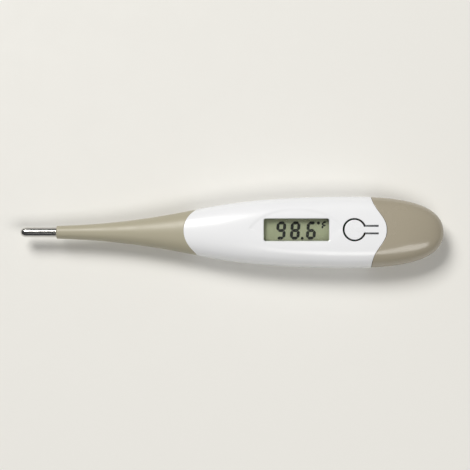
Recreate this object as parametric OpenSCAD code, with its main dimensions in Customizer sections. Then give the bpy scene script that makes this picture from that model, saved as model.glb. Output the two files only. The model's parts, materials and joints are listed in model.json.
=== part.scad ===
// Digital clinical thermometer with a flexible neck: a steel probe on a soft sprung neck, a two-shell
// handle with a display and a tongue button, and a battery cap that pulls off the tail.
// Millimetres. X runs from the steel nose to the cap, Z points out of the display,
// and the thermometer rests on the flat of its underside at z = 0.

/* [Overall] */
// Length from the steel nose to the end of the battery cap
total_len = 138; // [128:1:170]
// Widest width of the handle
handle_w = 23.2; // [19:0.1:28]
// Thickness from the flat underside to the flat display deck
handle_t = 12.6; // [11.5:0.1:16]

/* [Neck and probe] */
// Diameter of the steel probe tip
steel_d = 3.2; // [2.6:0.05:3.8]
// Length of steel that stands out of the neck
steel_len = 11.8; // [9:0.1:16]
// Wall of the steel tube
steel_wall = 0.35; // [0.2:0.05:0.6]
// Diameter of the neck where the steel leaves it
neck_end_d = 4.2; // [3.9:0.1:5]
// Distance from the cap's end to the neck's first bending centre
flex_from_tail = 93; // [90:0.5:100]
// Distance between neighbouring bending centres
flex_pitch = 5.5; // [5:0.1:6.6]
// Gap between a ball and its socket in the neck
ball_gap = 0.2; // [0.1:0.05:0.3]
// Diameter of the wire channel down the neck
channel_d = 1.6; // [1.4:0.1:2]
// Diameter of one lead wire over its enamel
wire_d = 0.35; // [0.2:0.05:0.4]

/* [Housing] */
// Wall of the shells at the sides
wall = 1.4; // [1:0.1:1.8]
// Wall under the display deck and above the underside
deck_wall = 1.3; // [1:0.1:1.6]
// Width of the seam between the housing and the battery cap
seam_gap = 0.15; // [0.1:0.05:0.3]

/* [Window and display] */
// Length of the window opening
window_len = 21.1; // [17:0.1:26]
// Width of the window opening
window_w = 7.3; // [6:0.1:8.8]
// Distance from the cap's end to the window's centre
window_from_tail = 48.15; // [47:0.1:50]
// Lip of the lens under the edge of the opening
lens_lip = 1.2; // [0.8:0.1:1.5]
// Depth of the lens face below the deck
lens_recess = 0.5; // [0.3:0.05:0.8]
// Thickness of the display glass
glass_t = 1.4; // [1.1:0.1:1.7]

/* [Button] */
// Diameter of the button pad
pad_d = 6.5; // [5.4:0.1:7.8]
// Width of the slot that frees the button
slot_w = 0.55; // [0.4:0.05:0.7]
// Width of the arm that carries the pad
arm_w = 1.9; // [1.5:0.1:2.4]
// Distance from the pad's centre to the bending line of the arm
arm_len = 7.8; // [6.6:0.1:8.4]
// Distance from the cap's end to the pad's centre
button_from_tail = 29.4; // [29:0.1:31]

/* [Battery] */
// Diameter of the coin cell
cell_d = 7.9; // [6.6:0.1:9.5]
// Thickness of the coin cell
cell_t = 3.6; // [3:0.1:4.3]
// Wall of the tray around the cell
tray_wall = 0.8; // [0.6:0.1:1]
// Gap between the cap's socket and the carrier
cap_gap = 0.15; // [0.1:0.05:0.2]
// Diameter of the seal ring's cord
seal_d = 0.7; // [0.5:0.05:0.8]

/* [Circuit board] */
// Thickness of the circuit board
board_t = 0.8; // [0.6:0.1:1]
// Width of the circuit board
board_w = 13; // [11.5:0.1:14]
// Diameter of the buzzer disc
buzzer_d = 10; // [8:0.5:12]

/* [Hidden] */

// Frame: the length is centred on X = 0 and the neck's axis is at half the handle's thickness.
tail_x = total_len / 2;
nose_x = -total_len / 2;
neck_x = nose_x + steel_len;
axis_z = handle_t / 2;
half_w = handle_w / 2;
crown = handle_t / 21;    // how far the rounded hull would stand past the two flats
half_h = handle_t / 2 + crown;
far = 2 * total_len;      // larger than anything here, for cutting blocks
smooth = 64;              // facets of a round part, which carries over as a true curve

// Hull: bezier knots of [x, half width, half height, roundness], from the neck's end to the tail.
root_x = tail_x - 81;
root_half_w = 7.4;
root_half_h = 5.2;
flare_len = 18;
flare_half_w = 3.7;
flare_half_h = 3.4;
handle_run = 10;
round_n = 2;              // superellipse exponent of a circle
squared_n = 3;            // exponent of the handle's squarer section
hull_neck = [
    [neck_x, neck_end_d / 2, neck_end_d / 2, round_n],
    [neck_x + (root_x - neck_x) * 0.31, neck_end_d / 2 + 0.35, neck_end_d / 2 + 0.35, round_n],
    [root_x - flare_len, flare_half_w, flare_half_h, round_n],
    [root_x, root_half_w, root_half_h, 2.2]];
hull_front = [
    hull_neck[3],
    hull_neck[3] + (hull_neck[3] - hull_neck[2]) * handle_run / flare_len,
    [tail_x - 57, half_w, half_h, squared_n],
    [tail_x - 29, half_w, half_h, squared_n]];
hull_rear = [
    hull_front[3],
    [tail_x - 9, half_w, half_h, squared_n],
    [tail_x, half_w * 0.655, half_h * 0.66, 2.6],
    [tail_x, 0, 0, 2.4]];
ring_points = 36;
neck_steps = 12;
front_steps = 11;
rear_steps = 14;

function bezier(p, t) =
    p[0] * pow(1 - t, 3) + p[1] * 3 * t * pow(1 - t, 2) + p[2] * 3 * t * t * (1 - t) + p[3] * pow(t, 3);
stations = [
    for (i = [0 : neck_steps - 1]) bezier(hull_neck, i / neck_steps),
    for (i = [0 : front_steps - 1]) bezier(hull_front, i / front_steps),
    for (i = [0 : rear_steps - 1]) bezier(hull_rear, sin(90 * i / rear_steps))];
width_table = [for (s = stations) [s[0], s[1]]];
height_table = [for (s = stations) [s[0], s[2]]];
function neck_r(x) = min(lookup(x, width_table), lookup(x, height_table));

// Colour boundaries between the soft neck, the white housing and the cap.
front_arc_x = tail_x - 84.7;
front_arc_r = 8.2;
front_side_x = tail_x - 80;
bell_tail_x = tail_x - 24;
bell_rise = 5;
bell_half = 6.9;
bell_steps = 12;
function bell_x(y) = bell_tail_x + bell_rise * exp(-pow(abs(y) / bell_half, 2.4));

// Neck: the ball-and-socket pieces run from the first bending centre towards the steel.
links = 6;
flex_x = tail_x - flex_from_tail;
function pivot_x(i) = flex_x - i * flex_pitch;
rim_angle = 60;           // how far round the ball each socket reaches
steel_seat_x = neck_x + 3.8;
bond = 0.02;              // glue line around the steel
nose_fillet = 1.1;
seat_step = 0.2;          // how much the steel is drawn in where the neck holds it
collar_gap = 0.1;         // bare steel between the full diameter and the neck
drawn_r = steel_d / 2 - seat_step;
bead_r = 0.6;             // temperature-sensing bead, just behind the nose
nose_t = 2 * steel_wall;
bead_x = nose_x + nose_t + bead_r + 0.1;
filling_x1 = bead_x + 3.5;
wire_y = 0.3;
wire_x0 = bead_x + bead_r;
plug_len = 5;             // how far the neck's plug reaches into the housing
beyond = 5;               // margin by which a form runs past the cut that ends it

// Window stack, from the deck down.
window_x = tail_x - window_from_tail;
deck_z = handle_t;
adhesive_t = 0.1;
lens_t = 0.9;
lens_top_z = deck_z - deck_wall - adhesive_t;
lens_low_z = lens_top_z - lens_t;
glass_top_z = lens_low_z - 0.4;
glass_low_z = glass_top_z - glass_t;
glass_len = window_len + 3.3;
glass_w = window_w + 2.1;
reflector_t = 0.2;
strip_w = 1.3;
frame_wall = 0.9;
frame_gap = 0.1;
window_corner = 0.6;
lens_corner = 1;
lens_gap = 0.1;

// Board stack, from the wires' level down.
board_top_z = axis_z - wire_d / 2;
board_low_z = board_top_z - board_t;
board_x0 = tail_x - 72;
board_x1 = tail_x - 26.4;
board_nose_r = 4;         // rounded narrow end of the board, which the wires reach
board_nose_len = 8;
board_nose_x = 2;
wire_x1 = board_x0 + 2.2;
chip_r = 3;
chip_h = 1;
chip_dome_r = 5;
passive_l = 1.1;
passive_w = 1.8;
passive_h = 0.6;
passive_pitch = 2.4;
post_r = 1.3;
pin_r = 0.6;
pin_gap = 0.05;
post_x = window_x + glass_len / 2 + 3.2;
post_y = board_w / 2 - 1.4;
posts = [[board_x0 + board_nose_r, 0], [post_x, post_y], [post_x, -post_y]];

// Button and switch.
button_x = tail_x - button_from_tail;
hinge_x = button_x + arm_len;
arm_t = 0.7;
hinge_z = deck_z - arm_t / 2;
hinge_gap = 0.08;
switch_side = 4.4;
switch_h = 1.7;
plunger_r = 1.1;
plunger_gap = 0.05;
plunger_stand = 0.7;
plunger_depth = 0.6;
stem_r = 1;
stem_gap = 0.12;
press_room = 0.5;         // travel that the switch leaves under the plunger

// Battery end.
carrier_x0 = tail_x - 25.8;
flange_t = 1.6;
collar_half_w = half_w - 2.6;
collar_half_h = handle_t / 2 - 1.9;
collar_x1 = tail_x - 14;
collar_wall = 1.4;
seal_x = tail_x - 16.5;
groove_depth = 0.6;
groove_w = seal_d + 0.2;
cell_gap = 0.1;
cell_x = collar_x1 + cell_d / 2 - 1;
tray_half_w = cell_d / 2 + cell_gap + tray_wall;
tray_half_h = cell_t / 2 + 0.9;
tray_x1 = cell_x + cell_d / 2 + cell_gap + 0.4;
contact_t = 0.3;
contact_w = 1.8;
contact_y = switch_side / 2 + contact_w / 2 + 0.2;
riser_x = carrier_x0 - 0.4;

// Whole white housing, before its hollow and its openings.
white_x0 = front_arc_x - 6;
white_x1 = tail_x - 12;

floor_z = deck_wall;
buzzer_x = window_x;
buzzer_t = 0.3;
ceramic_t = 0.25;
seat_depth = 0.2;         // shallow round seat in the floor that locates the disc
seat_gap = 0.1;
disc_z = floor_z - seat_depth;

// Sign-keeping power, for the superellipse.
function spow(v, e) = sign(v) * pow(abs(v), e);
function ring(s, inset) = [
    for (i = [0 : ring_points - 1])
        let (a = 360 * (i + 0.5) / ring_points)
        [s[0], (s[1] - inset) * spow(cos(a), 2 / s[3]), axis_z + (s[2] - inset) * spow(sin(a), 2 / s[3])]];

// Hull between two places along X, set in from the outer surface, with both ends closed.
module hull_body(inset, x0, x1) {
    used = [for (s = stations) if (s[0] > x0 && s[0] < x1 && s[1] > inset + 0.3 && s[2] > inset + 0.3) s];
    rings = len(used);
    to_tail = x1 > tail_x;
    apex = [[tail_x - inset, 0, axis_z]];
    pts = concat([for (s = used) each ring(s, inset)], to_tail ? apex : []);
    last = (rings - 1) * ring_points;
    sides = [
        for (k = [0 : rings - 2])
            for (i = [0 : ring_points - 1])
                let (a = k * ring_points + i)
                let (b = k * ring_points + (i + 1) % ring_points)
                each [[a, a + ring_points, b], [b, a + ring_points, b + ring_points]]];
    front_face = [[for (i = [0 : ring_points - 1]) i]];
    rear_face = to_tail
        ? [for (i = [0 : ring_points - 1]) [last + i, rings * ring_points, last + (i + 1) % ring_points]]
        : [[for (i = [ring_points - 1 : -1 : 0]) last + i]];
    polyhedron(points = pts, faces = concat(sides, front_face, rear_face), convexity = 4);
}

// Everything between two heights.
module slab(z0, z1) {
    translate([-far / 2, -far / 2, z0]) cube([far, far, z1 - z0]);
}

// Outer form of the handle with its two flats.
module outer_form(x0, x1) {
    intersection() {
        hull_body(0, x0, x1);
        slab(0, deck_z);
    }
}

// Hollow of the handle, set in by the walls and a further clearance.
module inner_form(x0, x1, clearance = 0) {
    intersection() {
        hull_body(wall + clearance, x0, x1);
        slab(floor_z + clearance, deck_z - deck_wall - clearance);
    }
}

// Plan of the white housing: a round front and a bell-shaped tongue at the rear.
module white_plan() {
    translate([front_arc_x + front_arc_r, 0]) circle(r = front_arc_r, $fn = smooth);
    polygon(concat(
        [[front_side_x, half_w + 1], [front_side_x, -half_w - 1]],
        [for (i = [-bell_steps : bell_steps]) let (y = i * (half_w + 1) / bell_steps) [bell_x(y), y]]));
}

// Plan of everything behind the seam, for the cap.
module cap_plan() {
    polygon(concat(
        [[tail_x + 1, half_w + 1], [tail_x + 1, -half_w - 1]],
        [for (i = [-bell_steps : bell_steps])
            let (y = i * (half_w + 1) / bell_steps) [bell_x(y) + seam_gap, y]]));
}

// Slot with round ends, as wide as 2 * hw and as high as 2 * hh, standing across X.
module stadium(x0, x1, hw, hh) {
    translate([x0, 0, axis_z]) rotate([90, 0, 90]) linear_extrude(x1 - x0) {
        translate([hw - hh, 0]) circle(r = hh, $fn = smooth);
        translate([hh - hw, 0]) circle(r = hh, $fn = smooth);
        square([2 * (hw - hh), 2 * hh], center = true);
    }
}

// Rectangle with rounded corners.
module round_rect(l, w, r) {
    square([l - 2 * r, w], center = true);
    square([l, w - 2 * r], center = true);
    for (x = [-1, 1], y = [-1, 1])
        translate([x * (l / 2 - r), y * (w / 2 - r)]) circle(r = r, $fn = smooth);
}

// Block centred on X and Y, from z0 up.
module block(x, y, z0, l, w, h) {
    translate([x - l / 2, y - w / 2, z0]) cube([l, w, h]);
}

// Rod along X.
module rod(x0, x1, r, y = 0) {
    translate([x0, y, axis_z]) rotate([0, 90, 0]) cylinder(r = r, h = x1 - x0, $fn = smooth);
}

// Cone along X, from radius r0 at x0 to r1 at x1.
module taper(x0, x1, r0, r1) {
    translate([x0, 0, axis_z]) rotate([0, 90, 0]) cylinder(r1 = r0, r2 = r1, h = x1 - x0, $fn = smooth);
}

module ball(x, r) {
    translate([x, 0, axis_z]) sphere(r = r, $fn = smooth);
}

// Opening that frees the button: a round hole, the arm's slot and the rounded bed of its bending line.
module button_opening() {
    translate([button_x, 0, 0]) cylinder(r = pad_d / 2 + slot_w, h = deck_z + 1, $fn = smooth);
    slot_half = arm_w / 2 + slot_w;
    translate([button_x, -slot_half, 0]) cube([arm_len, 2 * slot_half, deck_z + 1]);
    translate([hinge_x, slot_half, hinge_z]) rotate([90, 0, 0])
        cylinder(r = arm_t / 2 + hinge_gap, h = 2 * slot_half, $fn = smooth);
}

module upper_housing() {
    color("whitesmoke") difference() {
        intersection() {
            outer_form(white_x0, white_x1);
            translate([0, 0, axis_z]) linear_extrude(deck_z) white_plan();
        }
        inner_form(white_x0, white_x1);
        translate([window_x, 0, axis_z]) linear_extrude(deck_z)
            round_rect(window_len, window_w, window_corner);
        translate([window_x, 0, axis_z]) linear_extrude(deck_z - deck_wall - axis_z)
            round_rect(window_len + 2 * lens_lip + lens_gap, window_w + 2 * lens_lip + lens_gap, lens_corner);
        button_opening();
    }
}

module lower_housing() {
    color("whitesmoke") union() {
        difference() {
            intersection() {
                outer_form(white_x0, white_x1);
                linear_extrude(axis_z) white_plan();
            }
            inner_form(white_x0, white_x1);
            translate([buzzer_x, 0, disc_z]) cylinder(r = buzzer_d / 2 + seat_gap, h = axis_z, $fn = smooth);
        }
        for (p = posts) {
            translate([p[0], p[1], floor_z / 2])
                cylinder(r = post_r, h = board_low_z - floor_z / 2, $fn = smooth);
            translate([p[0], p[1], board_low_z]) cylinder(r = pin_r, h = board_t + 0.4, $fn = smooth);
        }
    }
}

// Soft root of the neck: the coloured front end, a plug inside the housing and the first socket.
module neck_root() {
    socket_r = neck_r(pivot_x(0)) + ball_gap;
    plug_x = front_side_x + plug_len;
    color("tan") difference() {
        union() {
            difference() {
                intersection() {
                    outer_form(neck_x, plug_x + beyond);
                    translate([pivot_x(0) + socket_r * cos(rim_angle), -far / 2, 0])
                        cube([front_side_x - pivot_x(0), far, far]);
                }
                linear_extrude(far) white_plan();
            }
            intersection() {
                inner_form(neck_x, plug_x + beyond, bond);
                translate([front_arc_x - 1, -far / 2, 0]) cube([plug_x - front_arc_x + 1, far, far]);
            }
        }
        ball(pivot_x(0), socket_r);
        rod(pivot_x(0), plug_x + 1, channel_d / 2);
    }
}

// One bending piece of the neck: a ball towards the handle and a socket towards the tip.
module neck_link(i) {
    x1 = pivot_x(i);
    x0 = pivot_x(i + 1);
    ball_r = neck_r(x1);
    socket_r = neck_r(x0) + ball_gap;
    rim_x = x0 + socket_r * cos(rim_angle);
    color("tan") difference() {
        union() {
            ball(x1, ball_r);
            taper(rim_x, x1, neck_r(rim_x), ball_r);
        }
        ball(x0, socket_r);
        rod(x0 - 1, x1 + ball_r + 1, channel_d / 2);
    }
}

module neck_link_1() { neck_link(0); }
module neck_link_2() { neck_link(1); }
module neck_link_3() { neck_link(2); }
module neck_link_4() { neck_link(3); }
module neck_link_5() { neck_link(4); }

// Last piece of the neck, moulded around the steel tube.
module neck_link_6() {
    x1 = pivot_x(links - 1);
    color("tan") difference() {
        union() {
            ball(x1, neck_r(x1));
            taper(neck_x, x1, neck_end_d / 2, neck_r(x1));
        }
        rod(neck_x - 1, steel_seat_x, drawn_r + bond);
        rod(neck_x, x1 + neck_r(x1) + 1, channel_d / 2);
    }
}

// Closed tube: full diameter outside the neck, drawn in by one step where the neck holds it.
module steel_tip() {
    r = steel_d / 2;
    l = steel_seat_x - nose_x;
    step_at = steel_len - collar_gap;
    bore = r - steel_wall;
    color("silver") translate([nose_x, 0, axis_z]) rotate([0, 90, 0]) rotate_extrude($fn = smooth)
        polygon(concat(
            [[0, 0]],
            [for (a = [0 : 15 : 90]) [r - nose_fillet + nose_fillet * sin(a), nose_fillet * (1 - cos(a))]],
            [[r, step_at], [drawn_r, step_at], [drawn_r, l], [drawn_r - steel_wall, l]],
            [[drawn_r - steel_wall, step_at], [bore, step_at - steel_wall]],
            [[bore, nose_fillet], [bead_r, nose_t], [0, nose_t]]));
}

module lead_wires() {
    color("goldenrod") for (y = [-wire_y, wire_y]) rod(wire_x0, wire_x1, wire_d / 2, y);
}

module thermistor() {
    color("dimgray") ball(bead_x, bead_r);
}

module tip_filling() {
    color("lightgray") difference() {
        rod(nose_x + nose_fillet, filling_x1, steel_d / 2 - steel_wall);
        ball(bead_x, bead_r);
        for (y = [-wire_y, wire_y]) rod(bead_x, filling_x1 + 1, wire_d / 2, y);
    }
}

module window_lens() {
    color("lightcyan", 0.4) union() {
        translate([window_x, 0, lens_low_z]) linear_extrude(lens_t)
            round_rect(window_len + 2 * lens_lip, window_w + 2 * lens_lip, lens_corner);
        translate([window_x, 0, lens_top_z]) linear_extrude(deck_z - lens_recess - lens_top_z)
            round_rect(window_len - 0.1, window_w - 0.1, window_corner);
    }
}

module lens_adhesive() {
    color("ivory") translate([window_x, 0, lens_top_z]) linear_extrude(adhesive_t) difference() {
        round_rect(window_len + 2 * lens_lip, window_w + 2 * lens_lip, lens_corner);
        round_rect(window_len + 0.2, window_w + 0.2, window_corner);
    }
}

module display_glass() {
    color("darkseagreen") block(window_x, 0, glass_low_z, glass_len, glass_w, glass_t);
}

module display_reflector() {
    color("silver") block(window_x, strip_w / 2 + 0.2, glass_low_z - reflector_t,
        glass_len, glass_w - strip_w - 0.4, reflector_t);
}

// Frame that holds the display glass over the board.
module display_frame() {
    pocket_z = glass_low_z - reflector_t;
    l = glass_len + 2 * frame_gap;
    w = glass_w + 2 * frame_gap;
    color("gainsboro") difference() {
        block(window_x, 0, board_top_z, l + 2 * frame_wall, w + 2 * frame_wall, glass_top_z - board_top_z);
        block(window_x, 0, pocket_z, l, w, far);
        block(window_x, strip_w / 2 + 0.4, board_top_z - 1, l - 2.4, w - strip_w - 3.6, far);
        block(window_x, (strip_w - glass_w) / 2 + 0.1, board_top_z - 1, l - 2.4, strip_w + 0.2, far);
    }
}

// Striped rubber connector between the display and the board.
module contact_strip() {
    color("dimgray") block(window_x, (strip_w - glass_w) / 2 + 0.1, board_top_z,
        glass_len - 2.6, strip_w, glass_low_z - board_top_z);
}

module circuit_board() {
    color("darkgreen") difference() {
        translate([board_x0, 0, board_low_z]) linear_extrude(board_t) union() {
            translate([board_nose_x, 0]) circle(r = board_nose_r, $fn = smooth);
            translate([board_nose_x, -board_nose_r]) square([board_nose_len, 2 * board_nose_r]);
            translate([board_nose_len, -board_w / 2])
                square([board_x1 - board_x0 - board_nose_len, board_w]);
        }
        for (p = posts)
            translate([p[0], p[1], 0]) cylinder(r = pin_r + pin_gap, h = far, $fn = smooth);
    }
}

// Chip under a drop of resin, on the underside of the board.
module controller_chip() {
    color("black") translate([window_x - chip_r - 1, 0, board_low_z - chip_h]) intersection() {
        cylinder(r = chip_r, h = chip_h, $fn = smooth);
        translate([0, 0, chip_dome_r]) sphere(r = chip_dome_r + 0.05, $fn = smooth);
    }
}

// Capacitors and resistors: four under the board and two beside the switch.
module small_parts() {
    color("sienna") for (i = [0 : 3])
        block(window_x + 3 + passive_pitch * i, board_w / 4, board_low_z - passive_h,
            passive_l, passive_w, passive_h);
    color("sienna") for (s = [-1, 1])
        block(button_x + s * passive_pitch / 2, -switch_side / 2 - 0.3 - passive_w / 2, board_top_z,
            passive_l, passive_w, passive_h);
}

module switch_body() {
    color("darkslategray") difference() {
        block(button_x, 0, board_top_z, switch_side, switch_side, switch_h);
        translate([button_x, 0, board_top_z + switch_h - plunger_depth - press_room])
            cylinder(r = plunger_r + plunger_gap, h = far, $fn = smooth);
    }
}

module switch_plunger() {
    color("black") translate([button_x, 0, board_top_z + switch_h - plunger_depth])
        cylinder(r = plunger_r, h = plunger_depth + plunger_stand, $fn = smooth);
}

// Tongue of the button: round pad, thin arm with a rounded end on the bending line, and a stem.
module power_button() {
    stem_z = board_top_z + switch_h + plunger_stand + stem_gap;
    color("whitesmoke") union() {
        translate([button_x, 0, deck_z - deck_wall]) cylinder(r = pad_d / 2, h = deck_wall, $fn = smooth);
        translate([button_x, 0, stem_z]) cylinder(r = stem_r, h = deck_z - deck_wall / 2 - stem_z, $fn = smooth);
        translate([button_x, -arm_w / 2, deck_z - arm_t]) cube([arm_len, arm_w, arm_t]);
        translate([hinge_x, arm_w / 2, hinge_z]) rotate([90, 0, 0])
            cylinder(r = arm_t / 2, h = arm_w, $fn = smooth);
    }
}

module buzzer_disc() {
    color("gold") translate([buzzer_x, 0, disc_z]) cylinder(r = buzzer_d / 2, h = buzzer_t, $fn = smooth);
}

module buzzer_ceramic() {
    color("white") translate([buzzer_x, 0, disc_z + buzzer_t])
        cylinder(r = buzzer_d / 3, h = ceramic_t, $fn = smooth);
}

// Two short wires from the disc and its ceramic face up to the board.
module buzzer_leads() {
    outer_z = disc_z + buzzer_t;
    inner_z = outer_z + ceramic_t;
    color("red") translate([buzzer_x + buzzer_d / 4, 0, inner_z])
        cylinder(r = wire_d, h = board_low_z - inner_z, $fn = smooth);
    color("red") translate([buzzer_x + buzzer_d / 2 - 0.8, 0, outer_z])
        cylinder(r = wire_d, h = board_low_z - outer_z, $fn = smooth);
}

// Carrier: a flange inside the housing, a sealed collar and the cell's tray inside the cap.
module battery_carrier() {
    inner_w = collar_half_w - collar_wall;
    inner_h = collar_half_h - collar_wall;
    slot_h = cell_t / 2 + contact_t + 0.05;
    color("gainsboro") difference() {
        union() {
            stadium(carrier_x0, carrier_x0 + flange_t, collar_half_w + 0.5, collar_half_h + 0.5);
            stadium(carrier_x0, collar_x1, collar_half_w, collar_half_h);
            translate([collar_x1 - 0.5, -tray_half_w, axis_z - tray_half_h])
                cube([tray_x1 - collar_x1 + 0.5, 2 * tray_half_w, 2 * tray_half_h]);
        }
        stadium(carrier_x0 - 1, collar_x1 - 1.2, inner_w, inner_h);
        difference() {
            stadium(seal_x - groove_w / 2, seal_x + groove_w / 2, collar_half_w + 2, collar_half_h + 2);
            stadium(seal_x - groove_w, seal_x + groove_w,
                collar_half_w - groove_depth, collar_half_h - groove_depth);
        }
        translate([cell_x, 0, axis_z - cell_t / 2]) cylinder(r = cell_d / 2 + cell_gap, h = far, $fn = smooth);
        translate([collar_x1 - 3, -contact_y - contact_w / 2 - 0.1, axis_z - slot_h])
            cube([cell_x - collar_x1 + 4.1, 2 * contact_y + contact_w + 0.2, 2 * slot_h]);
        translate([cell_x - 3, -tray_half_w - 1, axis_z + cell_t / 2 - 0.05])
            cube([far, 2 * tray_half_w + 2, tray_half_h]);
    }
}

// Seal ring: a round cord around the collar.
module cap_seal() {
    r = collar_half_h - groove_depth + seal_d / 2;
    side = collar_half_w - collar_half_h;
    color("dimgray") translate([seal_x, 0, axis_z]) rotate([90, 0, 90]) union() {
        for (s = [0, 1]) mirror([s, 0, 0]) translate([side, 0, 0])
            rotate([0, 0, -90]) rotate_extrude(angle = 180, $fn = smooth)
                translate([r, 0]) circle(r = seal_d / 2, $fn = smooth);
        for (s = [-1, 1]) translate([-side, s * r, 0]) rotate([0, 90, 0])
            cylinder(r = seal_d / 2, h = 2 * side, $fn = smooth);
    }
}

module coin_cell() {
    step = 0.5;
    color("silver") translate([cell_x, 0, axis_z - cell_t / 2]) union() {
        cylinder(r = cell_d / 2 - step, h = step, $fn = smooth);
        translate([0, 0, step]) cylinder(r = cell_d / 2, h = cell_t - step, $fn = smooth);
    }
}

// A spring strip: foot on the board, riser, and finger on the cell.
module contact(y, board_z, cell_z) {
    low = min(board_z, cell_z);
    high = max(board_z, cell_z) + contact_t;
    translate([riser_x - 2, y - contact_w / 2, board_z]) cube([2, contact_w, contact_t]);
    translate([riser_x - contact_t, y - contact_w / 2, low]) cube([contact_t, contact_w, high - low]);
    translate([riser_x - contact_t, y - contact_w / 2, cell_z])
        cube([cell_x - riser_x + 0.8 + contact_t, contact_w, contact_t]);
}

module positive_contact() {
    color("gold") contact(contact_y, board_top_z, axis_z + cell_t / 2);
}

module negative_contact() {
    color("gold") contact(0, board_low_z - contact_t, axis_z - cell_t / 2 - contact_t);
}

module battery_cap() {
    color("tan") difference() {
        intersection() {
            outer_form(bell_tail_x - 2 * beyond, tail_x + 1);
            linear_extrude(far) cap_plan();
        }
        stadium(bell_tail_x - 2, collar_x1 + cap_gap * 2, collar_half_w + cap_gap, collar_half_h + cap_gap);
        translate([collar_x1 - 1, -tray_half_w - cap_gap, axis_z - tray_half_h - cap_gap])
            cube([tray_x1 - collar_x1 + 1.4, 2 * (tray_half_w + cap_gap), 2 * (tray_half_h + cap_gap)]);
    }
}

upper_housing();
lower_housing();
neck_root();
neck_link_1();
neck_link_2();
neck_link_3();
neck_link_4();
neck_link_5();
neck_link_6();
steel_tip();
thermistor();
tip_filling();
lead_wires();
window_lens();
lens_adhesive();
display_glass();
display_reflector();
display_frame();
contact_strip();
circuit_board();
controller_chip();
small_parts();
switch_body();
switch_plunger();
power_button();
buzzer_disc();
buzzer_ceramic();
buzzer_leads();
battery_carrier();
cap_seal();
coin_cell();
positive_contact();
negative_contact();
battery_cap();
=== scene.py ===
# %% [markdown]
# # A digital thermometer, dressed piece by piece
# The measured model holds every part of the thermometer at its real size: two white shells, a soft bending
# neck, a steel tip, a battery cap and all that sits inside. This notebook gives those parts their looks.
# It loads the model first.

# %% Load the measured model
import json
import math

import bmesh
import bpy
import numpy as np
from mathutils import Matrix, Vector


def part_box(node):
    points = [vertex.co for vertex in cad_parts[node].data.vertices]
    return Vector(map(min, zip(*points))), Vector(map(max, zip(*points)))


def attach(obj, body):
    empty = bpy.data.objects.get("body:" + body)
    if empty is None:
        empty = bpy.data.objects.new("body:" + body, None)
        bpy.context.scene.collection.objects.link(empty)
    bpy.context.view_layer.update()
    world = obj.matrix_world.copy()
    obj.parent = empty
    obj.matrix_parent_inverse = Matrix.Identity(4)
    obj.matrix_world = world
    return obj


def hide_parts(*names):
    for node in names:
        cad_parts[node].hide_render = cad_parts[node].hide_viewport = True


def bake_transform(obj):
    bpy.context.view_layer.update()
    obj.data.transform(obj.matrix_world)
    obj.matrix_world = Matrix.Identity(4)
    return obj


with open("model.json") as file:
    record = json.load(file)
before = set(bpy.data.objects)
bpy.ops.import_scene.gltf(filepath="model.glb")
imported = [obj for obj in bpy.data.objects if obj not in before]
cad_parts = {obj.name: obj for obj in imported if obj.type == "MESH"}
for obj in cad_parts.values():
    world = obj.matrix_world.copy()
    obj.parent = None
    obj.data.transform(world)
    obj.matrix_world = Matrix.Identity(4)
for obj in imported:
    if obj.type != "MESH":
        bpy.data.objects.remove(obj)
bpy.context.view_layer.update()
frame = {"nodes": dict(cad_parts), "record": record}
MM = 0.001

# %% [markdown]
# ## The measures that everything hangs from
# A piece that is made here has to land on the measured one, so each measure is read from a node's box or
# from a joint. Only the shape between those measures is described again: a rounded bar whose width,
# height and squareness change smoothly along its length.

# %% Read the measures
tail_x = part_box("battery_cap")[1][0]
nose_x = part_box("steel_tip")[0][0]
neck_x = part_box("neck_link_6")[0][0]
half_w = 11.6 * MM
deck_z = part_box("upper_housing")[1][2]
axis_z = deck_z / 2
crown = deck_z / 21
half_h = axis_z + crown
joints = {j["name"]: j for j in frame["record"]["behaviour"]["joints"]}
lens_low, lens_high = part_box("window_lens")
glass_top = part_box("display_glass")[1][2]
window_x = (lens_low[0] + lens_high[0]) / 2
hinge_x = joints["button_press"]["pos_m"][0]
plunger_r = 1.1 * MM
button_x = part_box("switch_plunger")[0][0] + plunger_r
print(f"length {1000 * (tail_x - nose_x):.1f} mm, thickness {1000 * deck_z:.1f} mm")

# %% [markdown]
# ## One outline for the whole body
# The neck, the housing and the cap flow into each other, so they share one form. Three cubic curves, end to
# end, carry four numbers along the length: the place, the half width, the half height and the exponent of
# the section. An exponent of 2 is a circle or an ellipse, and 3 is the squarer section of the handle.

# %% The body's form
dish_l, dish_w, dish_edge, dish_depth = 15.5 * MM, 7.4 * MM, 1.2 * MM, 0.18 * MM
dome_drop = 0.75 * MM
root_x = tail_x - 81 * MM
root_knot = [root_x, 7.4 * MM, 5.2 * MM, 2.2]
flare_knot = [root_x - 18 * MM, 3.7 * MM, 3.4 * MM, 2]
front_knot = [r + (r - f) * 10 / 18 for r, f in zip(root_knot, flare_knot)]
knots = np.array([
    [neck_x, 2.1 * MM, 2.1 * MM, 2],
    [neck_x + (root_x - neck_x) * 0.31, 2.45 * MM, 2.45 * MM, 2],
    flare_knot,
    root_knot,
    front_knot,
    [tail_x - 57 * MM, half_w, half_h, 3],
    [tail_x - 29 * MM, half_w, half_h, 3],
    [tail_x - 9 * MM, half_w, half_h, 3],
    [tail_x, half_w * 0.655, half_h * 0.66, 2.6],
    [tail_x, 0, 0, 2.4]])


def spine(s):
    """Place, half width, half height and exponent at s, from 0 at the neck's end to 3 at the tail.

    Between whole numbers lies one cubic: four knots weighted by (1-t)^3, 3t(1-t)^2, 3t^2(1-t) and t^3.
    """
    s = np.asarray(s, float)
    first = np.clip(np.floor(s).astype(int), 0, 2)
    t = (s - first)[..., None]
    k = knots[3 * first[..., None] + np.arange(4)]
    return k[..., 0, :] * (1 - t) ** 3 + k[..., 1, :] * 3 * t * (1 - t) ** 2 \
        + k[..., 2, :] * 3 * t * t * (1 - t) + k[..., 3, :] * t ** 3


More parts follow.
